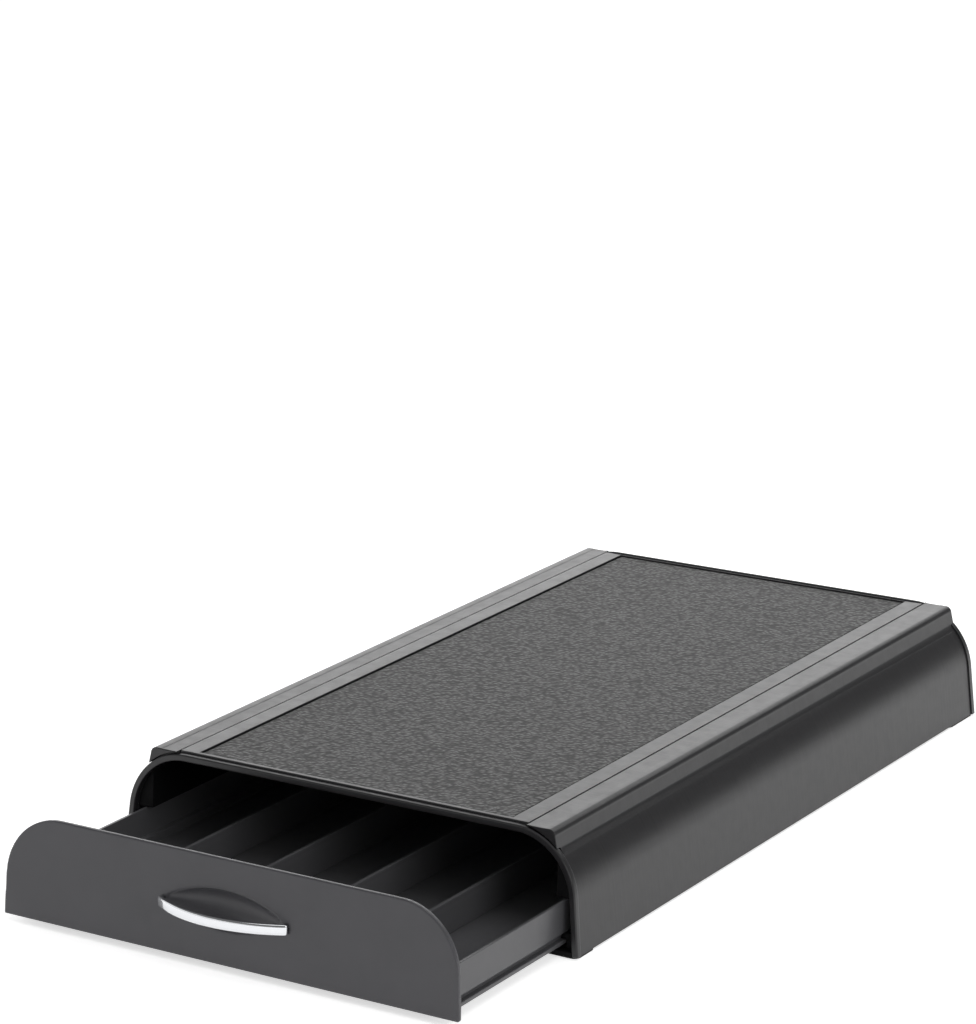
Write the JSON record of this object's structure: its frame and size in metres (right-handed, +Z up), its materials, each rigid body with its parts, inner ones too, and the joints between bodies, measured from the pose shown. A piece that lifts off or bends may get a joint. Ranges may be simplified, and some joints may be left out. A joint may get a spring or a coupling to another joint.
{
  "type": "coffee pod drawer",
  "caption": "Low arched sleeve with a grained mat on its deck, and a sliding drawer with parallel lanes, an arched front, a finger scoop and a bowed handle.",
  "frame": {"origin": "middle of the whole footprint on the floor, with the drawer part open", "axes": "+X to the right seen from the front, +Y to the rear, +Z up"},
  "size_m": [0.236, 0.467, 0.0532],
  "materials": {
    "shell_plastic": "satin, nearly black grey",
    "front_plastic": "satin dark grey",
    "tray_plastic": "satin dark grey",
    "dark_plastic": "matte black",
    "mat": "grained black vinyl",
    "foot_rubber": "matte black",
    "handle_chrome": "polished",
    "screw_steel": "plain zinc"
  },
  "bodies": {
    "housing": {"deck_panel": "shell_plastic", "deck_mat": "mat", "deck_screws": "screw_steel", "side_shell_left": "shell_plastic", "side_shell_right": "shell_plastic", "front_rim": "shell_plastic", "rear_rim": "shell_plastic", "back_panel": "shell_plastic", "back_screws": "screw_steel", "guide_left": "dark_plastic", "guide_right": "dark_plastic", "runner_left": "dark_plastic", "runner_right": "dark_plastic", "stop_left": "dark_plastic", "stop_right": "dark_plastic", "base_plate": "dark_plastic", "base_screws": "screw_steel", "foot_front_left": "foot_rubber", "foot_front_right": "foot_rubber", "foot_rear_left": "foot_rubber", "foot_rear_right": "foot_rubber"},
    "drawer": {"drawer_tray": "tray_plastic", "drawer_front": "front_plastic", "front_screws": "screw_steel", "handle_bow": "handle_chrome", "handle_screws": "screw_steel", "lane_divider_1": "tray_plastic", "lane_divider_2": "tray_plastic", "lane_divider_3": "tray_plastic", "lane_divider_4": "tray_plastic"}
  },
  "joints": [
    {"name": "drawer_slide", "type": "slide", "parent": "housing", "child": "drawer", "axis": [0, -1, 0], "range_m": [-0.083, 0.187]}
  ]
}
